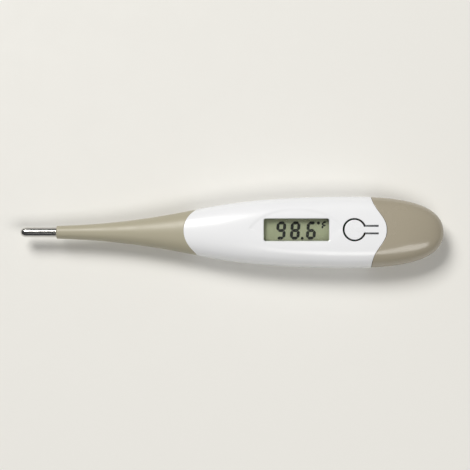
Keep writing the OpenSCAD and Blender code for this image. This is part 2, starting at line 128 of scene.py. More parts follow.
def soft_limit(z, limit, blend):
    """z held below limit, with a rounded edge: the smooth minimum of the two over a band of width blend."""
    h = np.clip(0.5 + 0.5 * (limit - z) / blend, 0, 1)
    return limit + (z - limit) * h - blend * h * (1 - h)


def deck_drop(x, y):
    """Depth of the deck below its flat: a faint dome across it, plus an eye-shaped hollow at the window.

    The dome is dome_drop * (y / half_w)^2. The hollow is dish_depth * smoothstep(k), where k grows with the
    distance from its edge, and its half width at x is dish_w * (1 - |(x - window_x) / dish_l|^2)^0.65.
    """
    half = dish_w * np.clip(1 - ((x - window_x) / dish_l) ** 2, 0, 1) ** 0.65
    k = np.clip((half - np.abs(y)) / np.where(y > 0, dish_edge, 3 * dish_edge), 0, 1)
    return dome_drop * (y / half_w) ** 2 + dish_depth * k * k * (3 - 2 * k)


def body_point(s, v, inset=0.0):
    """Point of the body's surface at s along it and at angle v round it.

    The section is |y/w|^n + |z/h|^n = 1, followed by its polar angle, and z is held between the two flats.
    """
    x, w, h, n = np.moveaxis(spine(s), -1, 0)
    c, q = np.cos(v), np.sin(v)
    reach = (np.abs(c) ** n + np.abs(q) ** n) ** (-1 / n)
    y = (w - inset) * reach * c
    z = (h - inset) * reach * q
    flat = axis_z - inset
    edge = 0.5 * MM
    z = soft_limit(z, flat, edge)
    z = -soft_limit(-z, flat, edge)
    z = z - np.where(z > 0, deck_drop(x, y) * np.clip(z / axis_z, 0, 1), 0)
    return x, y, axis_z + z


print("widest half width", half_w, "tallest half height", axis_z)

# %% [markdown]
# ## Where one colour ends and the next begins
# The white housing starts in a round bow over the soft neck and ends in a bell-shaped tongue that the cap
# fits around. Both lines are drawn in plan and cut straight down through the body. A line is found by
# walking along the body at each angle until the point meets it, which a few halvings of an interval do.

# %% The two colour lines
bow_x = tail_x - 84.7 * MM
bow_r = 8.2 * MM
bow_side_x = tail_x - 80 * MM
bow_blend = 2.4 * MM
bell_tail_x = tail_x - 24 * MM
bell_rise = 5 * MM
bell_half = 6.9 * MM
seam = 0.15 * MM
edge_roll = 0.12 * MM


def bow_line(y):
    """Front line of the housing: the smooth minimum of a circle's front and a straight side line."""
    reach = np.sqrt(np.clip(bow_r ** 2 - y ** 2, 0, None))
    return soft_limit(bow_x + bow_r - reach, bow_side_x, bow_blend)


def bell_line(y):
    """Rear line of the housing: a bell, rise * exp(-(|y|/half)^2.4), on a straight line."""
    return bell_tail_x + bell_rise * np.exp(-(np.abs(y) / bell_half) ** 2.4)


def meet(line, v, low, high, offset=0.0):
    """The s where the body's surface, at angle v, crosses a line in plan. Halves an interval 40 times."""
    low = np.full(v.shape, float(low))
    high = np.full(v.shape, float(high))
    for _ in range(40):
        middle = (low + high) / 2
        x, y, _z = body_point(middle, v)
        before = x < line(y) + offset
        low = np.where(before, middle, low)
        high = np.where(before, high, middle)
    return (low + high) / 2


print("housing from", round(1000 * bow_x, 1), "to", round(1000 * (bell_tail_x + bell_rise), 1), "mm")

# %% [markdown]
# ## Turning arrays into meshes
# A sheet of points in rows and columns becomes quads between neighbours. The sheet may close on itself
# along its columns, as a tube does, and may end in a single point, as the tail does. Every piece then gets
# its material and the body that it rides on.

# %% Mesh helpers
def sheet_faces(rows, cols, wrap):
    """Quads of a grid, as index rows: (i, j), (i, j+1), (i+1, j+1), (i+1, j)."""
    i, j = np.meshgrid(np.arange(rows - 1), np.arange(cols if wrap else cols - 1), indexing="ij")
    k = (j + 1) % cols
    return np.stack([i * cols + j, i * cols + k, (i + 1) * cols + k, (i + 1) * cols + j], -1).reshape(-1, 4)


def make_mesh(name, points, faces):
    """Object at the origin from an array of points and a list of faces."""
    mesh = bpy.data.meshes.new(name)
    places = np.asarray(points, float).reshape(-1, 3).tolist()
    mesh.from_pydata(places, [], [tuple(map(int, face)) for face in faces])
    mesh.validate()
    piece = bpy.data.objects.new(name, mesh)
    bpy.context.scene.collection.objects.link(piece)
    return piece


def outward(piece, merge=1e-7):
    """Merge doubled points and turn every face of a closed piece outwards."""
    work = bmesh.new()
    work.from_mesh(piece.data)
    bmesh.ops.remove_doubles(work, verts=work.verts, dist=merge)
    bmesh.ops.recalc_face_normals(work, faces=work.faces)
    work.to_mesh(piece.data)
    work.free()
    return piece


def smooth(piece, angle=30):
    """Shade smooth, with edges sharper than the angle kept crisp."""
    piece.data.shade_smooth()
    piece.data.set_sharp_from_angle(angle=math.radians(angle))
    return piece


def bake_modifiers(piece):
    """Apply the piece's modifiers to its mesh."""
    ready = piece.evaluated_get(bpy.context.evaluated_depsgraph_get())
    mesh = bpy.data.meshes.new_from_object(ready)
    piece.modifiers.clear()
    piece.data = mesh
    return piece


def dress(piece, body, material, replaces=()):
    """Give a finished piece its material and its body, and hide the measured nodes that it stands for.

    A piece that is given None as its body is attached to no body.
    """
    piece.data.materials.clear()
    piece.data.materials.append(material)
    if body:
        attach(piece, body)
    if replaces:
        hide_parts(*replaces)
    print(f"{piece.name}: {len(piece.data.polygons)} faces on {body or 'two bodies'}")
    return piece

# %% [markdown]
# ## Effects that several finishes share
# Moulded plastic is never perfectly even: the mould leaves a faint ripple, fingers leave dull patches and
# the colour drifts a little. Each of those effects is one node group with named inputs, built once. A group
# puts out only a height, a mask or a colour, and the shader itself stays in the material.

# %% Node helpers and groups
def add(tree, kind, **values):
    """New node of a kind, with sockets set by name and properties set by attribute."""
    n = tree.nodes.new(kind)
    for key, value in values.items():
        if key in n.inputs:
            n.inputs[key].default_value = value
        else:
            setattr(n, key, value)
    return n


def new_group(name, inputs, outputs):
    """Empty node group. inputs and outputs are (name, socket kind, default) rows."""
    g = bpy.data.node_groups.new(name, "ShaderNodeTree")
    for label, kind, default in inputs:
        g.interface.new_socket(label, in_out="INPUT", socket_type=kind).default_value = default
    for label, kind in outputs:
        g.interface.new_socket(label, in_out="OUTPUT", socket_type=kind)
    return g, g.nodes.new("NodeGroupInput"), g.nodes.new("NodeGroupOutput")


FLOAT, COLOUR = "NodeSocketFloat", "NodeSocketColor"


def mould_grain_group():
    """Height of a moulded surface: fine grain plus a slow ripple, each times its own amount."""
    g, i, o = new_group("mould_grain", [("Grain Scale", FLOAT, 2500.0), ("Grain", FLOAT, 0.5),
                                        ("Ripple Scale", FLOAT, 120.0), ("Ripple", FLOAT, 0.5)],
                        [("Height", FLOAT)])
    at = add(g, "ShaderNodeTexCoord")
    fine = add(g, "ShaderNodeTexNoise", Detail=3.0, Roughness=0.6)
    slow = add(g, "ShaderNodeTexNoise", Detail=1.0, Roughness=0.4)
    fine_part = add(g, "ShaderNodeMath", operation="MULTIPLY")
    slow_part = add(g, "ShaderNodeMath", operation="MULTIPLY")
    total = add(g, "ShaderNodeMath", operation="ADD")
    g.links.new(at.outputs["Object"], fine.inputs["Vector"])
    g.links.new(at.outputs["Object"], slow.inputs["Vector"])
    g.links.new(i.outputs["Grain Scale"], fine.inputs["Scale"])
    g.links.new(i.outputs["Ripple Scale"], slow.inputs["Scale"])
    g.links.new(fine.outputs["Fac"], fine_part.inputs[0])
    g.links.new(i.outputs["Grain"], fine_part.inputs[1])
    g.links.new(slow.outputs["Fac"], slow_part.inputs[0])
    g.links.new(i.outputs["Ripple"], slow_part.inputs[1])
    g.links.new(fine_part.outputs[0], total.inputs[0])
    g.links.new(slow_part.outputs[0], total.inputs[1])
    g.links.new(total.outputs[0], o.inputs["Height"])
    return g


def handling_group():
    """Roughness that wanders from Low to High in soft patches, as skin grease leaves it."""
    g, i, o = new_group("handling", [("Scale", FLOAT, 90.0), ("Low", FLOAT, 0.2), ("High", FLOAT, 0.35)],
                        [("Roughness", FLOAT), ("Mask", FLOAT)])
    at = add(g, "ShaderNodeTexCoord")
    patches = add(g, "ShaderNodeTexNoise", Detail=4.0, Roughness=0.65, Distortion=0.6)
    spread = add(g, "ShaderNodeMapRange")
    spread.inputs["From Min"].default_value = 0.35
    spread.inputs["From Max"].default_value = 0.7
    g.links.new(at.outputs["Object"], patches.inputs["Vector"])
    g.links.new(i.outputs["Scale"], patches.inputs["Scale"])
    g.links.new(patches.outputs["Fac"], spread.inputs["Value"])
    g.links.new(i.outputs["Low"], spread.inputs["To Min"])
    g.links.new(i.outputs["High"], spread.inputs["To Max"])
    g.links.new(spread.outputs["Result"], o.inputs["Roughness"])
    g.links.new(patches.outputs["Fac"], o.inputs["Mask"])
    return g


def tone_group():
    """Colour that drifts between two tones in clouds, with a sprinkle of fine specks of a third."""
    g, i, o = new_group("tone", [("Tone A", COLOUR, (1, 1, 1, 1)), ("Tone B", COLOUR, (1, 1, 1, 1)),
                                 ("Speck", COLOUR, (0.5, 0.5, 0.5, 1)), ("Cloud Scale", FLOAT, 60.0),
                                 ("Speck Scale", FLOAT, 3000.0), ("Speck Amount", FLOAT, 0.1)],
                        [("Color", COLOUR)])
    at = add(g, "ShaderNodeTexCoord")
    cloud = add(g, "ShaderNodeTexNoise", Detail=3.0, Roughness=0.5)
    fleck = add(g, "ShaderNodeTexNoise", Detail=1.0, Roughness=0.5)
    few = add(g, "ShaderNodeMapRange")
    few.inputs["From Min"].default_value = 0.62
    few.inputs["From Max"].default_value = 0.74
    amount = add(g, "ShaderNodeMath", operation="MULTIPLY")
    base = add(g, "ShaderNodeMix", data_type="RGBA")
    mixed = add(g, "ShaderNodeMix", data_type="RGBA")
    g.links.new(at.outputs["Object"], cloud.inputs["Vector"])
    g.links.new(at.outputs["Object"], fleck.inputs["Vector"])
    g.links.new(i.outputs["Cloud Scale"], cloud.inputs["Scale"])
    g.links.new(i.outputs["Speck Scale"], fleck.inputs["Scale"])
    g.links.new(cloud.outputs["Fac"], base.inputs[0])
    g.links.new(i.outputs["Tone A"], base.inputs[6])
    g.links.new(i.outputs["Tone B"], base.inputs[7])
    g.links.new(fleck.outputs["Fac"], few.inputs["Value"])
    g.links.new(few.outputs["Result"], amount.inputs[0])
    g.links.new(i.outputs["Speck Amount"], amount.inputs[1])
    g.links.new(amount.outputs[0], mixed.inputs[0])
    g.links.new(base.outputs[2], mixed.inputs[6])
    g.links.new(i.outputs["Speck"], mixed.inputs[7])
    g.links.new(mixed.outputs[2], o.inputs["Color"])
    return g


MOULD_GRAIN, HANDLING, TONE = mould_grain_group(), handling_group(), tone_group()
print("groups:", [g.name for g in bpy.data.node_groups])

# %% [markdown]
# ## Finishes
# One function makes a whole finish from a few plain words: two tones, how rough it is where it is clean and
# where it has been held, and how deep its grain is. Values that are the same everywhere, such as the index
# of refraction, are set straight on the shader. A finish that needs more, such as brushed metal or glass,
# gets its own function after this one.

# %% The general finish
def use_group(tree, group, **values):
    """Node that places a group in a material, with its named inputs set."""
    n = tree.nodes.new("ShaderNodeGroup")
    n.node_tree = group
    for key, value in values.items():
        n.inputs[key.replace("_", " ")].default_value = value
    return n


def rgb(r, g, b):
    """Opaque colour from three linear values."""
    return (r, g, b, 1.0)


def finish(name, tone_a, tone_b, speck, rough, grain=(2500, 0.4), ripple=(120, 0.6), bump=0.02,
           cloud=60, speck_amount=0.12, metallic=0.0, **shader):
    """A finish from two tones, a roughness range, a grain and a ripple. shader sets sockets by name."""
    m = bpy.data.materials.new(name)
    m.use_nodes = True
    t = m.node_tree
    s = t.nodes["Principled BSDF"]
    tone = use_group(t, TONE, Tone_A=rgb(*tone_a), Tone_B=rgb(*tone_b), Speck=rgb(*speck),
                     Cloud_Scale=cloud, Speck_Amount=speck_amount)
    held = use_group(t, HANDLING, Low=rough[0], High=rough[1])
    relief = use_group(t, MOULD_GRAIN, Grain_Scale=grain[0], Grain=grain[1],
                       Ripple_Scale=ripple[0], Ripple=ripple[1])
    bumped = add(t, "ShaderNodeBump", Strength=1.0, Distance=bump * MM)
    t.links.new(tone.outputs["Color"], s.inputs["Base Color"])
    t.links.new(held.outputs["Roughness"], s.inputs["Roughness"])
    t.links.new(relief.outputs["Height"], bumped.inputs["Height"])
    t.links.new(bumped.outputs["Normal"], s.inputs["Normal"])
    s.inputs["Metallic"].default_value = metallic
    for key, value in shader.items():
        s.inputs[key.replace("_", " ")].default_value = value
    return m


white_shell = finish("white_shell", (0.885, 0.895, 0.925), (0.915, 0.925, 0.95), (0.74, 0.73, 0.71),
                     (0.23, 0.27), grain=(1800, 0.3), ripple=(110, 0.8), bump=0.015, speck_amount=0.06,
                     Coat_Weight=0.2, Coat_Roughness=0.16)
soft_neck = finish("soft_neck", (0.415, 0.382, 0.283), (0.45, 0.417, 0.312), (0.52, 0.49, 0.41),
                   (0.34, 0.48), grain=(3200, 0.7), ripple=(160, 0.4), bump=0.03)
taupe_cap = finish("taupe_cap", (0.385, 0.345, 0.265), (0.41, 0.365, 0.28), (0.48, 0.45, 0.38), (0.2, 0.3),
                   grain=(1800, 0.3), ripple=(110, 0.8), bump=0.015, speck_amount=0.06,
                   Coat_Weight=0.35, Coat_Roughness=0.06)
grey_plastic = finish("grey_plastic", (0.50, 0.51, 0.52), (0.58, 0.59, 0.60), (0.40, 0.40, 0.40),
                      (0.4, 0.55), grain=(2200, 0.8), bump=0.03)
dark_rubber = finish("dark_rubber", (0.03, 0.03, 0.033), (0.05, 0.05, 0.052), (0.12, 0.12, 0.11),
                     (0.5, 0.7), grain=(3000, 0.9), bump=0.03)
switch_plastic = finish("switch_plastic", (0.03, 0.03, 0.03), (0.045, 0.045, 0.047), (0.1, 0.1, 0.1),
                        (0.35, 0.5))
chip_resin = finish("chip_resin", (0.012, 0.012, 0.013), (0.02, 0.02, 0.021), (0.05, 0.05, 0.05),
                    (0.12, 0.3), grain=(900, 0.3), ripple=(600, 1.0), bump=0.06)
board_mask = finish("board_mask", (0.015, 0.12, 0.04), (0.02, 0.16, 0.055), (0.30, 0.42, 0.30),
                    (0.22, 0.35), grain=(2600, 0.6), bump=0.02)
ceramic_chip = finish("ceramic_chip", (0.36, 0.22, 0.11), (0.46, 0.30, 0.16), (0.6, 0.5, 0.4), (0.4, 0.55))
piezo_ceramic = finish("piezo_ceramic", (0.72, 0.71, 0.67), (0.80, 0.79, 0.75), (0.5, 0.5, 0.48),
                       (0.3, 0.5), grain=(2600, 0.9), bump=0.03)
tape = finish("tape", (0.74, 0.72, 0.64), (0.82, 0.80, 0.73), (0.6, 0.58, 0.5), (0.5, 0.7))
resin_filling = finish("resin_filling", (0.62, 0.62, 0.58), (0.72, 0.72, 0.69), (0.4, 0.4, 0.4), (0.3, 0.5))
bead_glass = finish("bead_glass", (0.10, 0.08, 0.07), (0.16, 0.13, 0.11), (0.3, 0.25, 0.2), (0.08, 0.2))
red_sleeve = finish("red_sleeve", (0.42, 0.02, 0.015), (0.5, 0.03, 0.02), (0.6, 0.2, 0.18), (0.35, 0.5))
enamel = finish("enamel", (0.45, 0.15, 0.04), (0.58, 0.22, 0.07), (0.7, 0.4, 0.2), (0.15, 0.3),
                metallic=0.7)
print("general finishes:", len(bpy.data.materials))

# %% [markdown]
# ## Metal, glass and the display
# Drawn steel carries fine lines along the tube, and they blur its reflections across the lines. Noise that
# is stretched along one axis gives such lines, once as a height and once as a roughness. The lens is clear
# plastic, so light has to pass through it, and it casts a shadow as if it weren't there. The display is a
# grey-green sheet with a very fine grain.

# %% Metal finishes
def drawn_metal(name, colour, worn, rough, along, bump=0.004):
    """Polished or plated metal with drawing lines. along scales the noise: small along the lines."""
    m = bpy.data.materials.new(name)
    m.use_nodes = True
    t = m.node_tree
    s = t.nodes["Principled BSDF"]
    at = add(t, "ShaderNodeTexCoord")
    stretch = add(t, "ShaderNodeMapping", Scale=along)
    lines = add(t, "ShaderNodeTexNoise", Scale=1.0, Detail=4.0, Roughness=0.7)
    rough_map = add(t, "ShaderNodeMapRange")
    rough_map.inputs["To Min"].default_value = rough[0]
    rough_map.inputs["To Max"].default_value = rough[1]
    bumped = add(t, "ShaderNodeBump", Strength=1.0, Distance=bump * MM)
    tone = use_group(t, TONE, Tone_A=rgb(*colour), Tone_B=rgb(*worn), Speck=rgb(*worn), Cloud_Scale=150.0)
    t.links.new(at.outputs["Object"], stretch.inputs["Vector"])
    t.links.new(stretch.outputs["Vector"], lines.inputs["Vector"])
    t.links.new(lines.outputs["Fac"], rough_map.inputs["Value"])
    t.links.new(rough_map.outputs["Result"], s.inputs["Roughness"])
    t.links.new(lines.outputs["Fac"], bumped.inputs["Height"])
    t.links.new(bumped.outputs["Normal"], s.inputs["Normal"])
    t.links.new(tone.outputs["Color"], s.inputs["Base Color"])
    s.inputs["Metallic"].default_value = 1.0
    return m


steel = drawn_metal("steel", (0.70, 0.69, 0.67), (0.62, 0.61, 0.59), (0.10, 0.24), (250, 6000, 6000))
cell_steel = drawn_metal("cell_steel", (0.68, 0.67, 0.64), (0.60, 0.59, 0.56), (0.18, 0.34),
                         (3000, 900, 3000))
contact_plate = drawn_metal("contact_plate", (0.80, 0.62, 0.30), (0.70, 0.53, 0.25), (0.18, 0.32),
                            (300, 5000, 5000))
brass = drawn_metal("brass", (0.74, 0.54, 0.22), (0.62, 0.44, 0.17), (0.2, 0.38), (5000, 400, 5000))
foil = drawn_metal("foil", (0.72, 0.73, 0.68), (0.66, 0.67, 0.62), (0.35, 0.5), (2500, 2500, 2500))


# %% Clear lens
def clear_plastic():
    """Glass shader that turns transparent for shadow rays, so that the display behind stays lit."""
    m = bpy.data.materials.new("clear_lens")
    m.use_nodes = True
    t = m.node_tree
    s = t.nodes["Principled BSDF"]
    out = t.nodes["Material Output"]
    s.inputs["Base Color"].default_value = rgb(0.97, 0.985, 0.98)
    s.inputs["Transmission Weight"].default_value = 1.0
    s.inputs["IOR"].default_value = 1.2
    held = use_group(t, HANDLING, Scale=70.0, Low=0.02, High=0.07)
    relief = use_group(t, MOULD_GRAIN, Grain_Scale=900.0, Grain=0.1, Ripple_Scale=150.0, Ripple=0.9)
    bumped = add(t, "ShaderNodeBump", Strength=1.0, Distance=0.004 * MM)
    t.links.new(held.outputs["Roughness"], s.inputs["Roughness"])
    t.links.new(relief.outputs["Height"], bumped.inputs["Height"])
    t.links.new(bumped.outputs["Normal"], s.inputs["Normal"])
    clear = add(t, "ShaderNodeBsdfTransparent", Color=rgb(0.93, 0.95, 0.94))
    path = add(t, "ShaderNodeLightPath")
    mix = add(t, "ShaderNodeMixShader")
    t.links.new(path.outputs["Is Shadow Ray"], mix.inputs[0])
    t.links.new(s.outputs[0], mix.inputs[1])
    t.links.new(clear.outputs[0], mix.inputs[2])
    t.links.new(mix.outputs[0], out.inputs["Surface"])
    return m


clear_lens = clear_plastic()
display_sheet = finish("display_sheet", (0.158, 0.167, 0.108), (0.176, 0.186, 0.122), (0.13, 0.138, 0.09),
                       (0.4, 0.55), grain=(4000, 0.8), ripple=(80, 0.3), bump=0.004, cloud=45,
                       speck_amount=0.2, Specular_IOR_Level=0.15)
ink = finish("ink", (0.006, 0.006, 0.006), (0.012, 0.012, 0.011), (0.03, 0.03, 0.026), (0.5, 0.65),
             grain=(3500, 0.5), bump=0.004, Specular_IOR_Level=0.1)
print("finishes:", len(bpy.data.materials))

# %% [markdown]
# ## Dressing the measured parts
# Most inner parts already have their real shape, so they only need a finish. A table of part and finish is
# enough. These parts come into sight when the battery cap is pulled off, or through the window.

# %% Finishes for measured parts
finish_of = {
    "steel_tip": steel, "thermistor": bead_glass, "tip_filling": resin_filling,
    "window_lens": clear_lens, "lens_adhesive": tape, "display_glass": display_sheet,
    "display_reflector": foil, "display_frame": grey_plastic, "contact_strip": dark_rubber,
    "circuit_board": board_mask, "controller_chip": chip_resin, "small_parts": ceramic_chip,
    "switch_body": switch_plastic, "switch_plunger": switch_plastic, "buzzer_disc": brass,
    "buzzer_ceramic": piezo_ceramic, "buzzer_leads": red_sleeve, "battery_carrier": grey_plastic,
    "cap_seal": dark_rubber, "coin_cell": cell_steel, "positive_contact": contact_plate,
    "negative_contact": contact_plate}
for part, material in finish_of.items():
    mesh = frame["nodes"][part].data
    mesh.materials.clear()
    mesh.materials.append(material)
print("measured parts dressed:", len(finish_of))

# %% [markdown]
# ## Cutting tools for the window and the button
# A hole in a moulded shell has a softly rounded mouth. The cutter for such a hole is a prism whose top
# flares out in a few narrow rings, so that what it leaves behind is the rounded lip. Each cutter is made
# from one closed outline, pushed outwards ring by ring.

# %% Outlines and cutters
def rounded_rectangle(length, width, radius, steps=8):
    """Closed outline of a rectangle with round corners, anticlockwise, centred on the origin."""
    turn = np.linspace(0, np.pi / 2, steps)
    corners = []
    for quarter, (sx, sy) in enumerate([(1, 1), (-1, 1), (-1, -1), (1, -1)]):
        centre = np.array([sx * (length / 2 - radius), sy * (width / 2 - radius)])
        angle = turn + quarter * np.pi / 2
        corners.append(centre + radius * np.stack([np.cos(angle), np.sin(angle)], -1))
    return np.concatenate(corners)


def tongue_outline(radius, arm_half, arm_length, steps=48):
    """Round pad with an arm towards +X: a circle, open where the arm's two straight sides leave it."""
    open_angle = np.arcsin(arm_half / radius)
    turn = np.linspace(open_angle, 2 * np.pi - open_angle, steps)
    ring = radius * np.stack([np.cos(turn), np.sin(turn)], -1)
    along = np.linspace(ring[-1, 0], arm_length, 14)[1:]
    lower = np.stack([along, np.full(along.shape, -arm_half)], -1)
    return np.concatenate([ring, lower, lower[::-1] * [1, -1]])


def pushed_out(outline, distance):
    """Outline with every point moved along its outward normal, the mean of its two sides' normals."""
    before, after = np.roll(outline, 1, 0), np.roll(outline, -1, 0)
    first, second = outline - before, after - outline
    first /= np.linalg.norm(first, axis=1)[:, None] + 1e-15
    second /= np.linalg.norm(second, axis=1)[:, None] + 1e-15
    n1, n2 = np.stack([first[:, 1], -first[:, 0]], -1), np.stack([second[:, 1], -second[:, 0]], -1)
    n = n1 + n2
    n /= np.linalg.norm(n, axis=1)[:, None]
    stretch = 1 / np.clip((n * n1).sum(1), 0.5, None)
    return outline + distance * (n * stretch[:, None])


def cutter(name, outline, centre_x, low_z, top_z, lip, lip_steps=3):
    """Prism from low_z to above top_z whose mouth flares by a quarter circle of radius lip."""
    turn = np.linspace(0, np.pi / 2, lip_steps + 1)
    rings = [(0.0, low_z)] + [(lip * (1 - np.cos(a)), top_z - lip * (1 - np.sin(a))) for a in turn]
    rings.append((lip, top_z + 0.5 * MM))
    loops = [pushed_out(outline, out) for out, _z in rings]
    points = np.concatenate([
        np.column_stack([loop[:, 0] + centre_x, loop[:, 1], np.full(len(loop), z)])
        for loop, (_out, z) in zip(loops, rings)])
    count = len(outline)
    faces = sheet_faces(len(rings), count, True).tolist()
    faces.append(list(range(count))[::-1])
    faces.append(list(range((len(rings) - 1) * count, len(rings) * count)))
    return outward(make_mesh(name, points, faces))


def carve(piece, tools):
    """Cut the tools out of the piece, then take the tools away."""
    for tool in tools:
        cut = piece.modifiers.new("cut", "BOOLEAN")
        cut.operation = "DIFFERENCE"
        cut.solver = "EXACT"
        cut.object = tool
    bpy.context.view_layer.update()
    bake_modifiers(piece)
    for tool in tools:
        bpy.data.objects.remove(tool)
    return piece


# %% [markdown]
# ## The two white shells
# The upper shell covers the top half of the section and the lower shell the bottom half, and they meet on a
# line round the middle. Each runs from one colour line to the other. Rows are packed closer near the ends,
# where the edge is rolled in a little, as a moulded edge is. The inside is the same form, less the wall.

# %% Shells
deck_wall = 1.3 * MM


def packed(count, edge=0.06, share=0.2):
    """Numbers from 0 to 1, with a share of them packed into the first and last stretch of length edge."""
    near = int(count * share)
    ease = edge * (1 - np.cos(np.linspace(0, np.pi / 2, near, endpoint=False)))
    return np.concatenate([ease, np.linspace(edge, 1 - edge, count - 2 * near), 1 - ease[::-1]])


def shell_solid(name, v0, v1, rows, cols, start, stop, roll=edge_roll):
    """Closed shell between two colour lines and between two angles, with its four outer edges rolled in.

    A point at s = start + (stop - start) * u is moved towards the body's axis by
    roll * (1 - sqrt(1 - k^2)), where k falls from 1 at an edge to 0 at a distance of one roll.
    The inside is the same form set in by the wall. Each row of points is a loop: outside, then back inside.
    """
    v = v0 + (v1 - v0) * packed(cols, 0.02, 0.06)
    u = packed(rows, 0.01, 0.06)[:, None]
    first, last = start(v), stop(v)
    s = first + (last - first) * u
    vv = np.broadcast_to(v, s.shape)
    run = np.stack(body_point(s, vv), -1)
    edges = (run[:1], run[-1:], run[:, :1], run[:, -1:])
    nearest = np.min([np.linalg.norm(run - edge, axis=-1) for edge in edges], axis=0)
    k = 1 - np.clip(nearest / roll, 0, 1)
    outer = np.stack(body_point(s, vv, roll * (1 - np.sqrt(np.clip(1 - k * k, 0, 1)))), -1)
    inner = np.stack(body_point(s, vv, deck_wall), -1)
    rings = np.concatenate([outer, inner[:, ::-1]], 1)
    j = np.arange(cols - 1)
    across = 2 * cols - 1 - j
    strip = np.stack([j, j + 1, across - 1, across], -1)
    far_strip = strip[:, ::-1] + (rows - 1) * 2 * cols
    faces = np.concatenate([sheet_faces(rows, 2 * cols, True), strip, far_strip])
    return outward(make_mesh(name, rings, faces))


def bow_start(v):
    """The s at angle v where the white shells start, behind the soft neck."""
    return meet(bow_line, v, 0.5, 1.5)


def bell_stop(v):
    """The s at angle v where the white shells stop, before the cap."""
    return meet(bell_line, v, 1.5, 2.6)


upper = shell_solid("upper_shell", 0, np.pi, 260, 200, bow_start, bell_stop)
lower = shell_solid("lower_shell", np.pi, 2 * np.pi, 200, 160, bow_start, bell_stop)
print("upper shell:", len(upper.data.polygons), "lower shell:", len(lower.data.polygons))

# %% [markdown]
# ## Window and button slot
# The window is as large as the lens less the lip that holds it, and its mouth is rounded, so it catches a
# bright line along its far edges. The button's slot follows the pad and both sides of its arm.

# %% Carve the upper shell
lens_lip = 1.2 * MM
window_len = lens_high[0] - lens_low[0] - 2 * lens_lip
window_w = lens_high[1] - lens_low[1] - 2 * lens_lip
window_round = 0.6 * MM
window_mouth = 0.45 * MM
pad_r = 3.21 * MM
slot_w = 0.63 * MM
arm_half = 0.92 * MM
arm_len = hinge_x - button_x
slot_mouth = 0.06 * MM
window_tool = cutter("window_tool", rounded_rectangle(window_len, window_w, window_round), window_x,
                     axis_z, deck_z - dish_depth, window_mouth)
slot_tool = cutter("slot_tool", tongue_outline(pad_r + slot_w, arm_half + slot_w, arm_len), button_x,
                   axis_z, deck_z, slot_mouth, 2)
carve(upper, [window_tool, slot_tool])
smooth(upper, 14)
smooth(lower, 25)
dress(upper, "handle", white_shell, ["upper_housing"])
dress(lower, "handle", white_shell, ["lower_housing"])
print("window", round(1000 * window_len, 2), "by", round(1000 * window_w, 2), "mm")

# %% [markdown]
# ## The battery cap
# The cap is a closed cup. One sheet wraps it all the way round, from the bell-shaped seam to the point at
# the tail, and the same sheet, set in by the wall, makes its inside. The two meet in a rim that follows the
# seam. The hollow has to leave room for the collar and the tray of the battery carrier.

# %% Cap
def cap_sheet(rows, cols, inset, end):
    """Rings of points from the seam to s = end, set in from the outer surface by inset."""
    v = np.linspace(0, 2 * np.pi, cols, endpoint=False)
    first = meet(bell_line, v, 1.5, 2.7, seam)
    u = packed(rows, 0.01, 0.08)[:, None]
    s = first + (end - first) * u
    vv = np.broadcast_to(v, s.shape)
    x, y, z = body_point(s, vv, inset)
    return np.stack([x, y, z], -1)


def cup(name, outer, inner, tip, inner_tip):
    """Closed cup from two stacks of rings: outer skin, tip, inner skin, inner tip and the rim between."""
    rows, cols = outer.shape[:2]
    rows_in = inner.shape[0]
    points = np.concatenate([outer.reshape(-1, 3), inner.reshape(-1, 3), [tip, inner_tip]])
    base = rows * cols
    end, inner_end = base + rows_in * cols, base + rows_in * cols + 1
    j = np.arange(cols)
    k = (j + 1) % cols
    out_last, in_last = (rows - 1) * cols, base + (rows_in - 1) * cols
    faces = sheet_faces(rows, cols, True).tolist() + (sheet_faces(rows_in, cols, True) + base).tolist()
    faces += np.stack([out_last + j, out_last + k, np.full(cols, end)], -1).tolist()
    faces += np.stack([in_last + j, in_last + k, np.full(cols, inner_end)], -1).tolist()
    faces += np.stack([j, k, base + k, base + j], -1).tolist()
    return outward(make_mesh(name, points, faces))


cap_cols = 256
cap_wall = 1.2 * MM
outer_end_s, hollow_end_s = 2.985, 2.55
outer_rings = cap_sheet(150, cap_cols, 0.0, outer_end_s)
near_rim = np.clip(1 - np.linalg.norm(outer_rings - outer_rings[:1], axis=-1) / edge_roll, 0, 1)
pull = edge_roll * (1 - np.sqrt(1 - near_rim ** 2))[..., None]
radial = outer_rings - [0, 0, axis_z]
radial[..., 0] = 0
outer_rings = outer_rings - radial / (np.linalg.norm(radial, axis=-1, keepdims=True) + 1e-12) * pull
cavity_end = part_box("battery_carrier")[1][0] + 0.4 * MM
inner_rings = cap_sheet(40, cap_cols, cap_wall, hollow_end_s)
inner_rings[..., 0] = np.minimum(inner_rings[..., 0], cavity_end)
cap = cup("battery_cap_shell", outer_rings, inner_rings, (tail_x, 0, axis_z), (cavity_end, 0, axis_z))
smooth(cap, 35)
dress(cap, "cap", taupe_cap, ["battery_cap"])

# %% [markdown]
# ## The soft neck, one skin over six bending centres
# The real neck is one piece of soft rubber with a channel for the wires. The measured model bends it at six
# centres, three up and down and three sideways. Six lengths of skin are made here, and each crosses one
# centre. They meet halfway between centres.

# %% Neck skin
centres = [joints[n]["pos_m"][0] for n in
           ("neck_pitch_1", "neck_yaw_1", "neck_pitch_2", "neck_yaw_2", "neck_pitch_3", "neck_yaw_3")]
pitch = centres[0] - centres[1]
channel_r = 0.8 * MM
steel_seat_r = 1.5 * MM
front_lip = 0.4 * MM
neck_cols = 96


def s_at(x):
    """The s at which the body's spine passes x, on the neck and the handle's front. Reads a fine table."""
    table = np.linspace(0, 2, 4001)
    return np.interp(x, spine(table)[..., 0], table)


